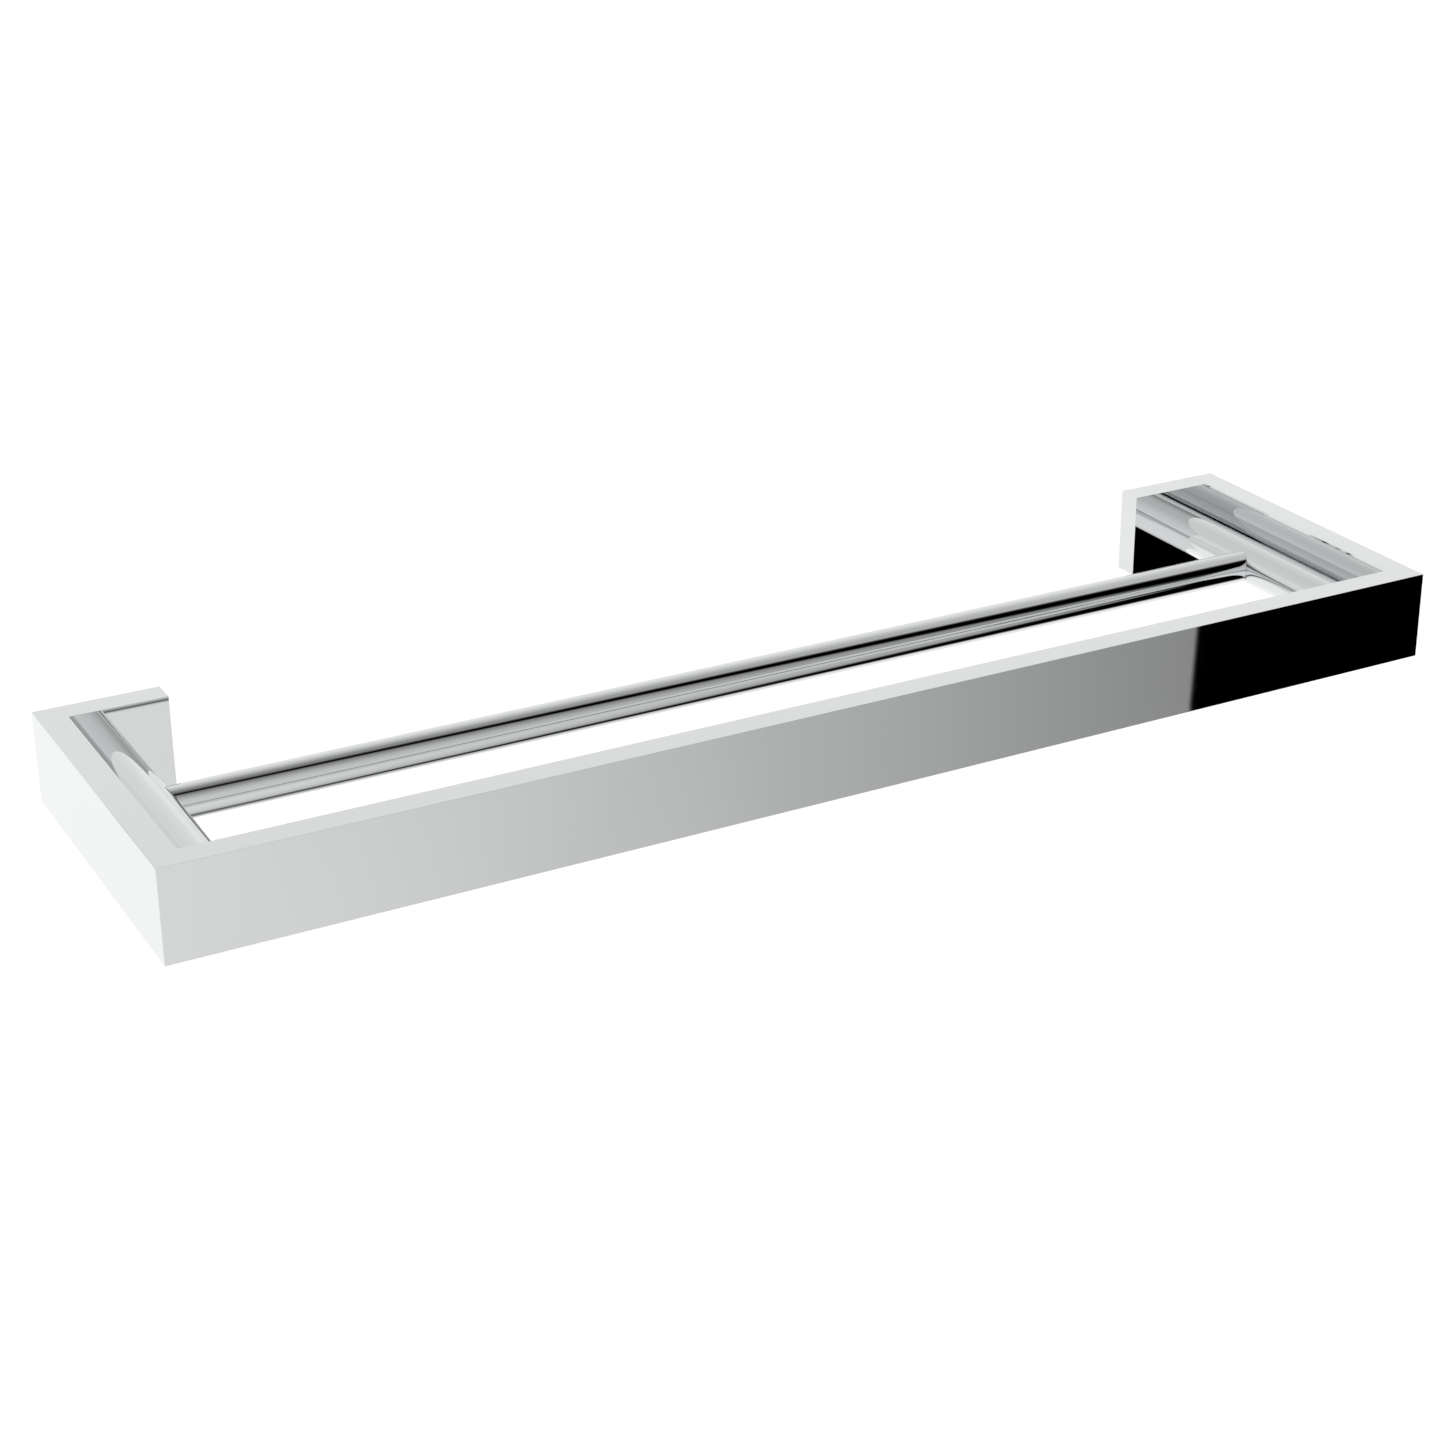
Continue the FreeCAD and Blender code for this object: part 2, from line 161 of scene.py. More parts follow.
def makeTurnedMetal(name, look):
    # Bar turned on a lathe and left as it comes off the tool: fine rings round the part that
    # stretch a highlight along it, over a colour that stays the same apart from the rings.
    material, tree = newMaterial(name)
    place = addNode(tree, "ShaderNodeTexCoord").outputs["Object"]
    rings = addNode(tree, "ShaderNodeTexWave", {"Vector": place, "Distortion": 0.5,
                                                "Scale": math.pi / 10 / look["ringPitch"]},
                    wave_type="BANDS", bands_direction=look["across"])
    tone = addNode(tree, "ShaderNodeMix", {0: rings.outputs["Fac"], 6: hexToLinear(look["dark"]),
                                           7: hexToLinear(look["light"])}, data_type="RGBA")
    rough = addNode(tree, "ShaderNodeMapRange", {"Value": rings.outputs["Fac"],
                                                 "To Min": look["roughness"][0],
                                                 "To Max": look["roughness"][1]})
    bump = addNode(tree, "ShaderNodeBump", {"Height": rings.outputs["Fac"],
                                            "Distance": look["ringDepth"]})
    shader = addNode(tree, "ShaderNodeBsdfPrincipled", {
        "Base Color": tone.outputs[2], "Metallic": 1.0, "Roughness": rough.outputs["Result"],
        "Normal": bump.outputs["Normal"]})
    addNode(tree, "ShaderNodeOutputMaterial", {"Surface": shader.outputs["BSDF"]})
    return material


nylon = {"dark": "#DAD6C6", "light": "#EDEADF", "cloud": 5 * mm, "grain": 0.5 * mm,
         "grainDepth": 0.01 * mm, "roughness": (0.38, 0.50), "ior": 1.53}


def makeNaturalNylon():
    # Moulded nylon without pigment: milky and a little waxy, with a satin skin from the mould.
    material, tree = newMaterial("naturalNylon")
    place = addNode(tree, "ShaderNodeTexCoord").outputs["Object"]
    cloud = addNode(tree, "ShaderNodeTexNoise", {"Vector": place, "Scale": 1 / nylon["cloud"]})
    grain = addNode(tree, "ShaderNodeTexNoise", {"Vector": place, "Scale": 1 / nylon["grain"]})
    tone = addNode(tree, "ShaderNodeMix", {0: cloud.outputs["Fac"], 6: hexToLinear(nylon["dark"]),
                                           7: hexToLinear(nylon["light"])}, data_type="RGBA")
    rough = addNode(tree, "ShaderNodeMapRange", {"Value": grain.outputs["Fac"],
                                                 "To Min": nylon["roughness"][0],
                                                 "To Max": nylon["roughness"][1]})
    bump = addNode(tree, "ShaderNodeBump", {"Height": grain.outputs["Fac"],
                                            "Distance": nylon["grainDepth"]})
    shader = addNode(tree, "ShaderNodeBsdfPrincipled", {
        "Base Color": tone.outputs[2], "Roughness": rough.outputs["Result"], "IOR": nylon["ior"],
        "Normal": bump.outputs["Normal"]})
    addNode(tree, "ShaderNodeOutputMaterial", {"Surface": shader.outputs["BSDF"]})
    return material


# Each material by the record's slot that it finishes
finishes = {
    "chrome_plate": makeChromePlate(),
    "bolt_steel": makeGrainyMetal("zincPlatedSteel", zincPlate),
    "cast_zinc": makeGrainyMetal("castZincAlloy", castZinc),
    "stainless_steel": makeTurnedMetal("stainlessSteel", stainlessSteel),
    "turned_brass": makeTurnedMetal("turnedBrass", turnedBrass),
    "bush_nylon": makeNaturalNylon(),
}
print("materials made")


overrun = 1 * mm        # how far a cutting tool runs past the face it enters
weld = 1e-7             # points closer than this are one point
parallel = 0.99         # two unit directions whose product is larger lie along one line
sharpAngle = math.radians(40)
holeSteps = 64


def markSharp(bm):
    # Keeps a face from tilting the mirror of the round face that it meets at a corner
    for edge in bm.edges:
        edge.smooth = edge.calc_face_angle(0) < sharpAngle


def cutAway(piece, tool):
    # Takes a closed shape out of a piece
    bmesh.ops.recalc_face_normals(tool, faces=tool.faces)
    toolMesh = bpy.data.meshes.new("tool")
    tool.to_mesh(toolMesh)
    tool.free()
    toolObject = bpy.data.objects.new("tool", toolMesh)
    bpy.context.scene.collection.objects.link(toolObject)
    cut = piece.modifiers.new("cut", "BOOLEAN")
    cut.operation = "DIFFERENCE"
    cut.solver = "EXACT"
    cut.object = toolObject
    evaluated = piece.evaluated_get(bpy.context.evaluated_depsgraph_get())
    before = piece.data
    after = bpy.data.meshes.new_from_object(evaluated)
    piece.modifiers.clear()
    piece.data = after
    bpy.data.objects.remove(toolObject)
    bpy.data.meshes.remove(toolMesh)
    bpy.data.meshes.remove(before)
    after.name = piece.name


def finishPiece(bm, name, node, slotName, cuts=(), sharpen=True):
    # Makes the object, takes the cuts out of it, hangs it on the root body and hides the CAD node that
    # it stands for
    bmesh.ops.recalc_face_normals(bm, faces=bm.faces)
    mesh = bpy.data.meshes.new(name)
    bm.to_mesh(mesh)
    bm.free()
    mesh.materials.append(finishes[slotName])
    piece = bpy.data.objects.new(name, mesh)
    bpy.context.scene.collection.objects.link(piece)
    for tool in cuts:
        cutAway(piece, tool)
    if cuts and sharpen:
        tidy = bmesh.new()
        tidy.from_mesh(piece.data)
        markSharp(tidy)
        tidy.to_mesh(piece.data)
        tidy.free()
    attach(piece, "root")
    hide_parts(node)
    return piece


def block(low, high):
    # A rectangular solid between two corners
    bm = bmesh.new()
    bmesh.ops.create_cube(bm, size=1)
    bmesh.ops.scale(bm, vec=high - low, verts=bm.verts)
    bmesh.ops.translate(bm, vec=(low + high) / 2, verts=bm.verts)
    return bm


def breakEdges(bm, edges, look):
    # Rounds edges over a little, and shades the round strip smooth
    rounded = bmesh.ops.bevel(bm, geom=edges, affect="EDGES", offset=look["edgeBreak"],
                              offset_type="OFFSET", segments=look["edgeSegments"], profile=0.5,
                              material=-1)
    for face in rounded["faces"]:
        face.smooth = True


bar = {"edgeBreak": 0.07 * mm, "edgeSegments": 3}


def barStock(node, along):
    # A length of flat bar in the node's box, with its long edges broken
    bm = block(*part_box(node))
    longEdges = [e for e in bm.edges
                 if abs((e.verts[0].co - e.verts[1].co).normalized().dot(along)) > parallel]
    breakEdges(bm, longEdges, bar)
    return bm


def sawMitre(bm, corner, keepTowards):
    # One 45 degree cut through a corner of the rack
    bmesh.ops.bisect_plane(bm, geom=bm.verts[:] + bm.edges[:] + bm.faces[:], dist=weld,
                           plane_co=corner, plane_no=-Vector(keepTowards), clear_outer=True)
    cut = [e for e in bm.edges if e.is_boundary]
    bmesh.ops.holes_fill(bm, edges=cut, sides=0)


def turned(start, axis, profile, steps, across=Vector((0, 0, 1))):
    # A solid turned about a line: profile is a list of (distance along the axis, radius)
    bm = bmesh.new()
    points = [bm.verts.new(start + axis * along + across * radius) for along, radius in profile]
    if profile[0][1] > 0:       # a ring closes on itself, a solid closes on its axis
        points.append(points[0])
    lines = [bm.edges.new(pair) for pair in zip(points, points[1:])]
    bmesh.ops.spin(bm, geom=bm.verts[:] + lines, cent=start, axis=axis, dvec=(0, 0, 0),
                   angle=2 * math.pi, steps=steps, use_merge=True, use_normal_flip=False,
                   use_duplicate=False)
    bmesh.ops.remove_doubles(bm, verts=bm.verts, dist=weld)
    bm.normal_update()
    for face in bm.faces:
        face.smooth = abs(face.normal.dot(axis)) < parallel     # all but the flat ends
    markSharp(bm)
    return bm


def drill(start, end, diameter):
    # The round hole that a drill leaves between two points
    axis = (end - start).normalized()
    across = axis.orthogonal().normalized()
    length = (end - start).length
    return turned(start, axis, [(0, 0), (0, diameter / 2), (length, diameter / 2), (length, 0)],
                  holeSteps, across)


def hexKey(start, axis, width, depth):
    # The shape of a hexagon key, from just outside the face that it enters
    bm = bmesh.new()
    bmesh.ops.create_circle(bm, cap_ends=True, segments=6, radius=width / math.sqrt(3))
    bmesh.ops.rotate(bm, cent=(0, 0, 0), verts=bm.verts,
                     matrix=axis.to_track_quat("Z", "X").to_matrix())
    bmesh.ops.translate(bm, vec=start - axis * overrun, verts=bm.verts)
    grown = bmesh.ops.extrude_face_region(bm, geom=bm.faces[:])
    moved = [v for v in grown["geom"] if isinstance(v, bmesh.types.BMVert)]
    bmesh.ops.translate(bm, vec=axis * (depth + overrun), verts=moved)
    return bm


def middle(node):
    low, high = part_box(node)
    return (low + high) / 2


bolt = {"shank": 6 * mm, "headHeight": 6 * mm, "headEdge": 0.5 * mm, "point": 0.6 * mm,
        "socketWidth": 5 * mm, "socketDepth": 3 * mm, "steps": 64, "tappedDepth": 8 * mm}


def makeFrontBar():
    bm = barStock("front_bar", Vector((1, 0, 0)))
    low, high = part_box("front_bar")
    sawMitre(bm, (low.x, low.y, 0), (1, -1, 0))
    sawMitre(bm, (high.x, low.y, 0), (-1, -1, 0))
    holes = []
    for side in ("left", "right"):      # the tapped holes for the tie bolts
        x = middle(f"{side}_tie_bolt").x
        holes.append(drill(Vector((x, high.y + overrun, 0)),
                           Vector((x, high.y - bolt["tappedDepth"], 0)), bolt["shank"]))
    # Sharpened, its mitres would show as a dark line across the broken edge
    return finishPiece(bm, "frontBar", "front_bar", "chrome_plate", holes, sharpen=False)


def makeSideBar(side, sign):
    bm = barStock(f"{side}_side_bar", Vector((0, 1, 0)))
    low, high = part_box(f"{side}_side_bar")
    outer = high.x if sign > 0 else low.x
    sawMitre(bm, (outer, low.y, 0), (sign, 1, 0))
    sawMitre(bm, (outer, high.y, 0), (sign, -1, 0))
    return finishPiece(bm, f"{side}SideBar", f"{side}_side_bar", "chrome_plate")


tab = {"pocketDepth": 8 * mm, "pocketGap": 0.3 * mm, "counterbore": 11 * mm,
       "counterboreDepth": 7.5 * mm, "boltHole": 6.5 * mm, "grubHole": 4 * mm}


def makeWallTab(side, sign):
    # The return along the wall. Its back takes the wall bracket and the tie bolt's head.
    bm = barStock(f"{side}_wall_tab", Vector((1, 0, 0)))
    low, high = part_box(f"{side}_wall_tab")
    outer = high.x if sign > 0 else low.x
    sawMitre(bm, (outer, high.y, 0), (-sign, 1, 0))
    bracketLow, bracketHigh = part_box(f"{side}_wall_bracket")
    gap = Vector((tab["pocketGap"], 0, tab["pocketGap"]))
    pocketLow, pocketHigh = bracketLow - gap, bracketHigh + gap
    pocketLow.y, pocketHigh.y = high.y - tab["pocketDepth"], high.y + overrun
    boltX = middle(f"{side}_tie_bolt").x
    grubAt = middle(f"{side}_grub_screw")
    seat = high.y - tab["counterboreDepth"]
    cuts = [
        block(pocketLow, pocketHigh),
        drill(Vector((boltX, high.y + overrun, 0)), Vector((boltX, seat, 0)), tab["counterbore"]),
        drill(Vector((boltX, high.y, 0)), Vector((boltX, low.y - overrun, 0)), tab["boltHole"]),
        drill(Vector((grubAt.x, grubAt.y, low.z - overrun)),
              Vector((grubAt.x, grubAt.y, pocketLow.z + overrun)), tab["grubHole"]),
    ]
    return finishPiece(bm, f"{side}WallTab", f"{side}_wall_tab", "chrome_plate", cuts)


tube = {"wall": 2 * mm, "steps": 256, "spigotHole": 8.2 * mm, "holeBand": 6 * mm}


def makeSideTube(side, sign):
    low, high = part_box(f"{side}_side_tube")
    centre = (low + high) / 2
    radius = (high.x - low.x) / 2
    length = high.y - low.y
    inner = radius - tube["wall"]
    bm = turned(Vector((centre.x, low.y, centre.z)), Vector((0, 1, 0)),
                [(0, inner), (0, radius), (length, radius), (length, inner)], tube["steps"])
    railY = middle("inner_rail").y
    for y in (railY - tube["holeBand"], railY + tube["holeBand"]):   # keeps the hole's faces local
        bmesh.ops.bisect_plane(bm, geom=bm.verts[:] + bm.edges[:] + bm.faces[:], dist=weld,
                               plane_co=(0, y, 0), plane_no=(0, 1, 0))
    hole = drill(Vector((centre.x, railY, centre.z)),
                 Vector((centre.x - sign * (radius + overrun), railY, centre.z)), tube["spigotHole"])
    return finishPiece(bm, f"{side}SideTube", f"{side}_side_tube", "chrome_plate", [hole])


rail = {"wall": 1.5 * mm, "steps": 256, "jointGap": 0.1 * mm}


def makeInnerRail():
    low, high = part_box("inner_rail")
    centre = (low + high) / 2
    radius = (high.y - low.y) / 2
    length = high.x - low.x
    inner = radius - rail["wall"]
    bm = turned(Vector((low.x, centre.y, centre.z)), Vector((1, 0, 0)),
                [(0, inner), (0, radius), (length, radius), (length, inner)], rail["steps"])
    tubeLow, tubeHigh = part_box("right_side_tube")
    tubeX = (tubeLow.x + tubeHigh.x) / 2
    saddle = (tubeHigh.x - tubeLow.x) / 2 + rail["jointGap"]
    for vert in bm.verts:       # cope both ends to sit on the side tubes
        reach = tubeX - math.sqrt(saddle ** 2 - vert.co.z ** 2)
        vert.co.x = math.copysign(reach, vert.co.x)
    return finishPiece(bm, "innerRail", "inner_rail", "chrome_plate")


def makeTieBolt(side):
    # A socket head bolt that runs from the back of the tab, through the tube, to the front bar
    low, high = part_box(f"{side}_tie_bolt")
    top = Vector(((low.x + high.x) / 2, high.y, (low.z + high.z) / 2))
    axis = Vector((0, -1, 0))
    head, shank, length = (high.x - low.x) / 2, bolt["shank"] / 2, high.y - low.y
    bm = turned(top, axis, [
        (0, 0), (0, head - bolt["headEdge"]), (bolt["headEdge"], head), (bolt["headHeight"], head),
        (bolt["headHeight"], shank), (length - bolt["point"], shank), (length, shank - bolt["point"]),
        (length, 0)], bolt["steps"])
    key = hexKey(top, axis, bolt["socketWidth"], bolt["socketDepth"])
    return finishPiece(bm, f"{side}TieBolt", f"{side}_tie_bolt", "bolt_steel", [key])


grub = {"socketWidth": 2 * mm, "socketDepth": 1.8 * mm, "edge": 0.3 * mm, "point": 0.5 * mm,
        "steps": 48}


def makeGrubScrew(side):
    # The small screw under the tab that locks it to the bracket
    low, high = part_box(f"{side}_grub_screw")
    bottom = Vector(((low.x + high.x) / 2, (low.y + high.y) / 2, low.z))
    axis = Vector((0, 0, 1))
    radius, length = (high.x - low.x) / 2, high.z - low.z
    bm = turned(bottom, axis, [
        (0, 0), (0, radius - grub["edge"]), (grub["edge"], radius), (length - grub["point"], radius),
        (length, radius - grub["point"]), (length, 0)], grub["steps"], Vector((1, 0, 0)))
    key = hexKey(bottom, axis, grub["socketWidth"], grub["socketDepth"])
    return finishPiece(bm, f"{side}GrubScrew", f"{side}_grub_screw", "stainless_steel", [key])


bracket = {"edgeBreak": 0.5 * mm, "edgeSegments": 3, "screwFromEnd": 5.7 * mm,
           "screwHole": 4.6 * mm, "screwHead": 8.6 * mm}


def makeWallBracket(side):
    # A small cast plate, screwed to the wall first. The countersinks face into the room.
    low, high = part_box(f"{side}_wall_bracket")
    bm = block(low, high)
    breakEdges(bm, bm.edges[:], bracket)
    markSharp(bm)
    hole, head = bracket["screwHole"] / 2, bracket["screwHead"] / 2
    through = overrun + high.y - low.y + overrun
    cuts = []
    for z in (low.z + bracket["screwFromEnd"], high.z - bracket["screwFromEnd"]):
        front = Vector(((low.x + high.x) / 2, low.y - overrun, z))
        cuts.append(turned(front, Vector((0, 1, 0)), [
            (0, 0), (0, head), (overrun, head), (overrun + head - hole, hole), (through, hole),
            (through, 0)], holeSteps))
    return finishPiece(bm, f"{side}WallBracket", f"{side}_wall_bracket", "cast_zinc", cuts)


makeFrontBar()
makeInnerRail()
for side, sign in (("left", -1), ("right", 1)):
    makeSideBar(side, sign)
    makeWallTab(side, sign)
    makeSideTube(side, sign)
print("chromed pieces made")
for side in ("left", "right"):
    makeTieBolt(side)
    makeGrubScrew(side)
    makeWallBracket(side)
print("fixings made")

# Washers, spigots and bushes keep their exact shapes and take better materials
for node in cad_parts.values():
    if not node.hide_render:
        for slot in node.material_slots:
            slot.material = finishes[slot.material.name.split(".")[0]]
print("carried-over nodes finished")


surroundings = {
    "strength": 1.265,          # makes up for what the chrome takes
    "greyPower": 2.2,           # from a grey as the eye sees it to light
    # Greys of the surroundings as the eye sees them, 0 to 1, by elevation in degrees
    "rightGrey": [(-80, 0.50), (-70, 0.71), (-62, 0.86), (-50, 0.925), (-38, 0.95), (-20, 0.953),
                  (-15, 0.86), (-5, 0.80), (-3, 0.86), (1, 0.86), (3, 0.83), (9, 0.84),
                  (14, 0.87), (20, 0.875), (24, 0.853), (27, 0.833), (38, 0.812), (46, 0.768),
                  (54, 0.722), (62, 0.645), (70, 0.53), (80, 0.39)],
    "leftGrey": [(-80, 0.50), (-70, 0.68), (-60, 0.79), (-46, 0.775), (-38, 0.765), (-24, 0.757),
                 (-15, 0.745), (-8, 0.69), (4, 0.69), (14, 0.68), (22, 0.692), (30, 0.678),
                 (46, 0.625), (58, 0.585), (66, 0.52), (80, 0.39)],
    "farLeftGrey": [(-80, 0.55), (-60, 0.85), (-42, 0.90), (-19, 0.895), (0, 0.87), (10, 0.85),
                    (28, 0.81), (34, 0.78), (41, 0.735), (60, 0.62), (80, 0.40)],
    # The black screen beside the camera: its two edges, in degrees left of straight right
    "screenLeft": [(-80, 4), (-70, 33), (-62, 40.7), (-54, 45.3), (-46, 48.1), (-38, 49.9),
                   (-30, 51.0), (-24, 51.64), (-21.6, 51.56), (-20.9, 56), (-18.5, 54), (10, 53),
                   (34, 52), (46, 50.9), (58, 48.8), (66, 46), (72, 42.3), (80, 30)],
    "screenRight": [(-80, 10), (-66, 16), (-62, 17.5), (-54, 20.5), (-50, 21.5), (-30, 23),
                    (0, 24), (10, 27), (20, 29.5), (46, 28.3), (58, 26.8), (66, 24.9), (72, 22.3),
                    (80, 14)],
    # How wide the fade at each of those edges is, in degrees
    "leftSoftness": [(-80, 17), (-62, 9.6), (-46, 7.2), (-29, 4.6), (-24.8, 0.14), (-20, 0.14),
                     (-15, 4.9), (80, 4.9)],
    "rightSoftness": [(-80, 10), (-66, 11), (-62, 11.7), (-54, 13), (-50, 10.5), (20, 10.5),
                      (80, 10.5)],
    # How the left grey changes with the turn, by degrees past the middle of the left wall
    "leftChange": [(-16, -0.29), (-12.7, -0.223), (-7.25, -0.118), (-3.6, -0.055), (0, 0),
                   (3.6, 0.04), (7.25, 0.066), (16, 0.10)],
    # A softer screen far round to the left: how much of the light it leaves, by degrees leftward
    "farScreen": [(134, 1), (139, 0.94), (147, 0.5), (153, 0.38), (160, 0.36), (166, 0.5),
                  (174, 0.95), (180, 1)],
    # The lowest and highest value on each list's ramp
    "span": {"rightGrey": (0, 1), "leftGrey": (0, 1), "farLeftGrey": (0, 1), "screenLeft": (0, 60),
             "screenRight": (0, 60), "leftSoftness": (0, 20), "rightSoftness": (0, 20),
             "leftChange": (-0.3, 0.1), "farScreen": (0, 1)},
    # Degrees leftward: 0 is straight right, 90 is out into the room, 180 is straight left, and
    # -90 is into the wall
    "leftMiddle": 66.0,             # the middle of the left wall
    "farLeftFade": (76.0, 100.0),   # where the left greys turn into the far left ones
    "behindFade": (145.0, 175.0),   # where the left side gives way to the greys of the right one
    "dimmerFade": (-122.0, -84.0),  # where the right greys dim, past the direction into the wall
    "dimmerShare": 0.942,
}


def makeWorld():
    # The surroundings of a product studio, by direction: a bright room, darker overhead, with a
    # tall black screen to the right of the camera and a softer one far left. Only the mirror
    # finish shows them: the camera itself sees white.
    world = bpy.data.worlds.new("studioSurroundings")
    bpy.context.scene.world = world
    world.use_nodes = True
    tree = world.node_tree
    tree.nodes.clear()
    towards = addNode(tree, "ShaderNodeTexCoord").outputs["Generated"]
    axes = addNode(tree, "ShaderNodeSeparateXYZ", {0: towards})
    rise = addNode(tree, "ShaderNodeMath", {0: axes.outputs["Z"]}, operation="ARCSINE").outputs[0]
    elevation = addNode(tree, "ShaderNodeMath", {0: rise}, operation="DEGREES").outputs[0]
    level = addNode(tree, "ShaderNodeMath", {0: rise}, operation="COSINE").outputs[0]
    across = addNode(tree, "ShaderNodeMath", {0: axes.outputs["Y"], 1: axes.outputs["X"]},
                     operation="ARCTAN2").outputs[0]
    turn = addNode(tree, "ShaderNodeMath", {0: across}, operation="DEGREES").outputs[0]
    leftward = addNode(tree, "ShaderNodeMath", {0: turn, 1: -1.0}, operation="MULTIPLY").outputs[0]

    def curve(source, name):
        # A ramp over one list of the settings
        stops = surroundings[name]
        low, high = surroundings["span"][name]
        start, stop = stops[0][0], stops[-1][0]
        share = addNode(tree, "ShaderNodeMapRange", {"Value": source, "From Min": float(start),
                                                     "From Max": float(stop)}).outputs[0]
        ramp = addNode(tree, "ShaderNodeValToRGB", {"Fac": share}, label=name)
        elements = ramp.color_ramp.elements
        while len(elements) < len(stops):
            elements.new(1.0)
        for element, (at, value) in zip(elements, stops):
            element.position = (at - start) / (stop - start)
            element.color = (*[(value - low) / (high - low)] * 3, 1)
        return addNode(tree, "ShaderNodeMapRange", {"Value": ramp.outputs["Color"],
                                                    "To Min": float(low),
                                                    "To Max": float(high)}).outputs[0]

    byHeight = {name: curve(elevation, name)
                for name in ("rightGrey", "leftGrey", "farLeftGrey", "screenLeft", "screenRight",
                             "leftSoftness", "rightSoftness")}

    def edge(place, softness):
        # How far left of an edge of the screen a direction is, in widths of that edge's fade
        past = addNode(tree, "ShaderNodeMath", {0: leftward, 1: byHeight[place]},
                       operation="SUBTRACT").outputs[0]
        flat = addNode(tree, "ShaderNodeMath", {0: past, 1: level}, operation="MULTIPLY").outputs[0]
        return addNode(tree, "ShaderNodeMath", {0: flat, 1: byHeight[softness]},
                       operation="DIVIDE").outputs[0]

    half = 0.5      # the edge is in the middle of its fade
    leftShare = addNode(tree, "ShaderNodeMapRange", {"Value": edge("screenLeft", "leftSoftness"),
                                                     "From Min": -half, "From Max": half},
                        interpolation_type="SMOOTHSTEP").outputs[0]
    rightShare = addNode(tree, "ShaderNodeMapRange", {"Value": edge("screenRight", "rightSoftness"),
                                                      "From Min": -half, "From Max": half,
                                                      "To Min": 1.0, "To Max": 0.0}).outputs[0]
    behind = addNode(tree, "ShaderNodeMapRange", {
        "Value": leftward, "From Min": surroundings["behindFade"][0],
        "From Max": surroundings["behindFade"][1]}).outputs[0]
    farLeft = addNode(tree, "ShaderNodeMapRange", {
        "Value": leftward, "From Min": surroundings["farLeftFade"][0],
        "From Max": surroundings["farLeftFade"][1]}).outputs[0]
    dimmer = addNode(tree, "ShaderNodeMapRange", {
        "Value": leftward, "From Min": surroundings["dimmerFade"][0],
        "From Max": surroundings["dimmerFade"][1], "To Min": surroundings["dimmerShare"],
        "To Max": 1.0}).outputs[0]
    rightGrey = addNode(tree, "ShaderNodeMath", {0: byHeight["rightGrey"], 1: dimmer},
                        operation="MULTIPLY").outputs[0]
    past = addNode(tree, "ShaderNodeMath", {0: leftward, 1: surroundings["leftMiddle"]},
                   operation="SUBTRACT").outputs[0]
    flat = addNode(tree, "ShaderNodeMath", {0: past, 1: level}, operation="MULTIPLY").outputs[0]
    brighter = curve(flat, "leftChange")
    nearLeft = addNode(tree, "ShaderNodeMath", {0: byHeight["leftGrey"], 1: brighter},
                       operation="ADD").outputs[0]
    left = addNode(tree, "ShaderNodeMix", {0: farLeft, 2: nearLeft, 3: byHeight["farLeftGrey"]},
                   data_type="FLOAT").outputs[0]
    notBehind = addNode(tree, "ShaderNodeMath", {0: 1.0, 1: behind}, operation="SUBTRACT").outputs[0]
    leftPart = addNode(tree, "ShaderNodeMath", {0: leftShare, 1: notBehind},
                       operation="MULTIPLY").outputs[0]
    rightPart = addNode(tree, "ShaderNodeMath", {0: rightShare, 1: behind},
                        operation="MAXIMUM").outputs[0]
    leftGrey = addNode(tree, "ShaderNodeMath", {0: left, 1: leftPart}, operation="MULTIPLY").outputs[0]
    bothSides = addNode(tree, "ShaderNodeMath", {0: rightGrey, 1: rightPart, 2: leftGrey},
                        operation="MULTIPLY_ADD", use_clamp=True).outputs[0]
    farShare = curve(leftward, "farScreen")
    grey = addNode(tree, "ShaderNodeMath", {0: bothSides, 1: farShare},
                   operation="MULTIPLY").outputs[0]
    light = addNode(tree, "ShaderNodeMath", {0: grey, 1: surroundings["greyPower"]},
                    operation="POWER").outputs[0]
    room = addNode(tree, "ShaderNodeBackground", {"Color": light,
                                                  "Strength": surroundings["strength"]})
    backdrop = addNode(tree, "ShaderNodeBackground", {"Color": (1, 1, 1, 1), "Strength": 1.0})
    seen = addNode(tree, "ShaderNodeLightPath").outputs["Is Camera Ray"]
    mix = addNode(tree, "ShaderNodeMixShader", {0: seen, 1: room.outputs[0], 2: backdrop.outputs[0]})
    addNode(tree, "ShaderNodeOutputWorld", {"Surface": mix.outputs[0]})


paper = {"below": 1.2, "size": 80, "colour": "#F6F6F4", "fibre": 25 * mm, "roughness": (0.85, 0.95)}


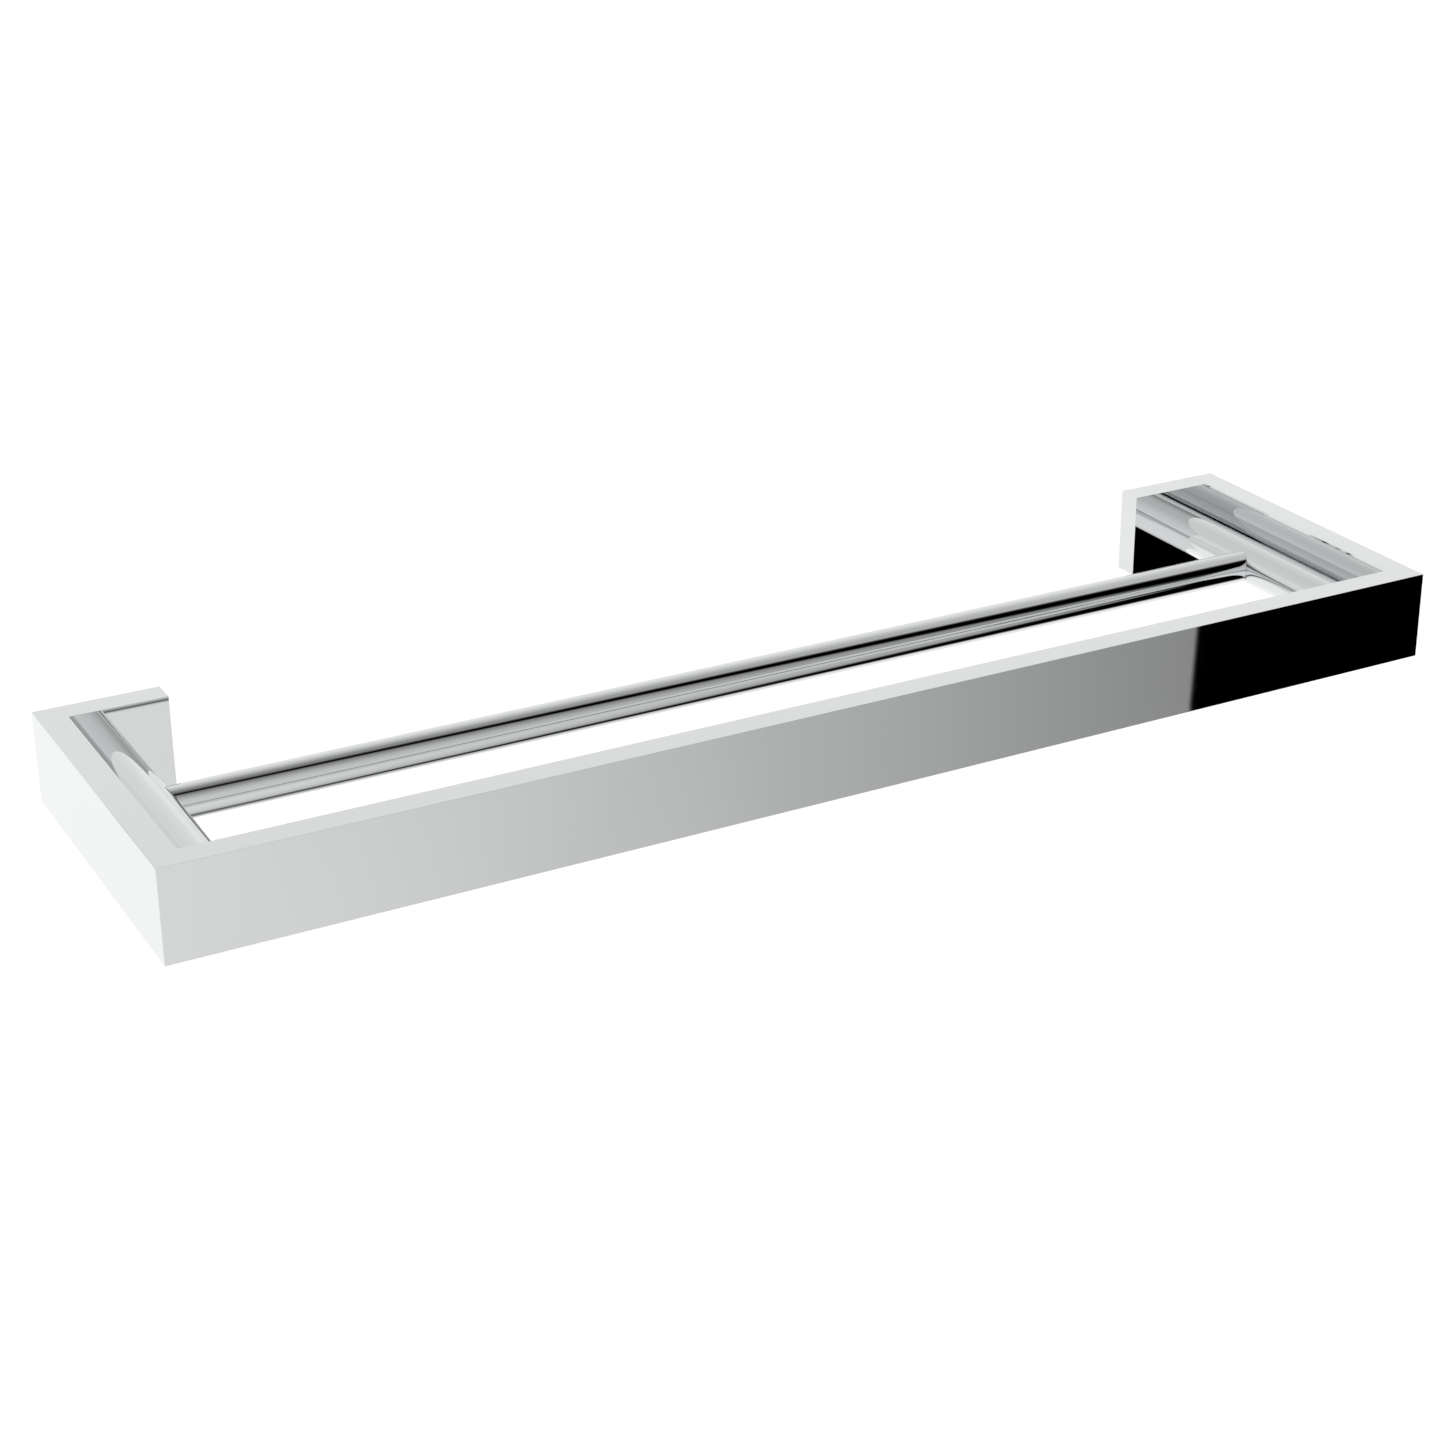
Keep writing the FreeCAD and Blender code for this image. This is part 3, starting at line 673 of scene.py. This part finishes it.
def makeFloor():
    # Matt white paper, whose fibres drift a little in gloss. The chrome does not mirror it.
    bm = bmesh.new()
    bmesh.ops.create_grid(bm, x_segments=1, y_segments=1, size=paper["size"] / 2)
    bmesh.ops.translate(bm, vec=(0, 0, -paper["below"]), verts=bm.verts)
    mesh = bpy.data.meshes.new("floor")
    bm.to_mesh(mesh)
    bm.free()
    material, tree = newMaterial("palePaper")
    place = addNode(tree, "ShaderNodeTexCoord").outputs["Object"]
    fibre = addNode(tree, "ShaderNodeTexNoise", {"Vector": place,
                                                 "Scale": 1 / paper["fibre"]})
    rough = addNode(tree, "ShaderNodeMapRange", {"Value": fibre.outputs["Fac"],
                                                 "To Min": paper["roughness"][0],
                                                 "To Max": paper["roughness"][1]})
    shader = addNode(tree, "ShaderNodeBsdfPrincipled", {
        "Base Color": hexToLinear(paper["colour"]), "Roughness": rough.outputs["Result"]})
    addNode(tree, "ShaderNodeOutputMaterial", {"Surface": shader.outputs["BSDF"]})
    mesh.materials.append(material)
    floor = bpy.data.objects.new("floor", mesh)
    bpy.context.scene.collection.objects.link(floor)
    floor.visible_glossy = False


lamp = {"energy": 2.0, "spread": 90}     # the spread is in degrees of sky


def makeLight():
    data = bpy.data.lights.new("softTopLight", "SUN")
    data.energy = lamp["energy"]
    data.angle = math.radians(lamp["spread"])
    light = bpy.data.objects.new("softTopLight", data)
    light.visible_glossy = False
    bpy.context.scene.collection.objects.link(light)


camera = {
    "azimuth": -29.437, "elevation": 23.507, "roll": 0.045, "distance": 1.28938,
    "aim": (0.02334, 0.03, -0.01461),       # from the middle of the rack
    "lens": 71.26, "sensor": 36, "shift": (-0.0399, -0.0305), "clip": (0.05, 200),
}


def makeCamera():
    low, high = cadBounds
    aim = (low + high) / 2 + Vector(camera["aim"])
    turn, tilt = math.radians(camera["azimuth"]), math.radians(camera["elevation"])
    back = Vector((math.sin(turn) * math.cos(tilt), -math.cos(turn) * math.cos(tilt),
                   math.sin(tilt)))
    data = bpy.data.cameras.new("camera")
    data.lens = camera["lens"]
    data.sensor_width = camera["sensor"]
    data.shift_x, data.shift_y = camera["shift"]
    data.clip_start, data.clip_end = camera["clip"]
    view = bpy.data.objects.new("camera", data)
    view.location = aim + back * camera["distance"]
    view.rotation_mode = "QUATERNION"
    roll = Quaternion((0, 0, 1), math.radians(camera["roll"]))
    view.rotation_quaternion = (-back).to_track_quat("-Z", "Y") @ roll
    bpy.context.scene.collection.objects.link(view)
    bpy.context.scene.camera = view


makeWorld()
makeFloor()
makeLight()
makeCamera()
bpy.context.scene.view_settings.view_transform = "Standard"
bpy.context.scene.cycles.max_bounces = 16
bpy.context.scene.cycles.glossy_bounces = 6
print("studio set")
